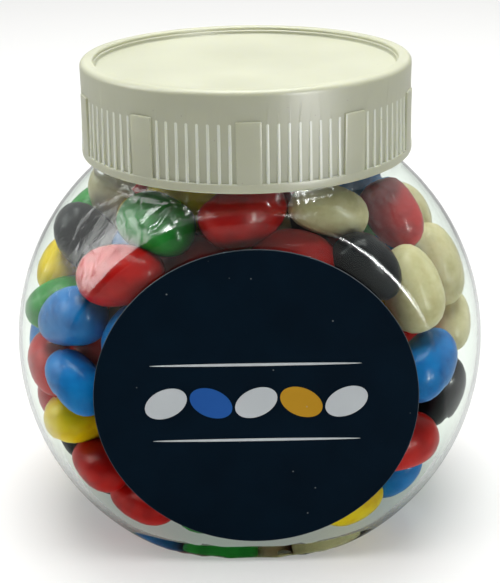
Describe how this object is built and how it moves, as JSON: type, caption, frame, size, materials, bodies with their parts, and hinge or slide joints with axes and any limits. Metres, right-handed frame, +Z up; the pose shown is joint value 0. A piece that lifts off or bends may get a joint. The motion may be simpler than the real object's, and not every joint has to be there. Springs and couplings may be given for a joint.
{
  "type": "jar of jelly beans",
  "caption": "Clear round-bellied plastic jar with flat front and back faces, filled with mixed jelly beans and shut by a ribbed white screw cap, with a plain dark round label on the front.",
  "frame": {"origin": "middle of the jar's foot, on the surface that it stands on", "axes": "+Z up through the cap, +X across the wide belly, -Y out of the front face that carries the label"},
  "size_m": [0.0976, 0.066, 0.096],
  "materials": {
    "clear_plastic": "clear blown PET",
    "white_plastic": "moulded polypropylene, satin",
    "label_paper": "printed film, satin",
    "sugar_shell": "polished sugar shell, mixed colours"
  },
  "bodies": {
    "root": {"jar": "clear_plastic", "cap": "white_plastic", "label": "label_paper", "jelly_beans": "sugar_shell"}
  },
  "joints": []
}
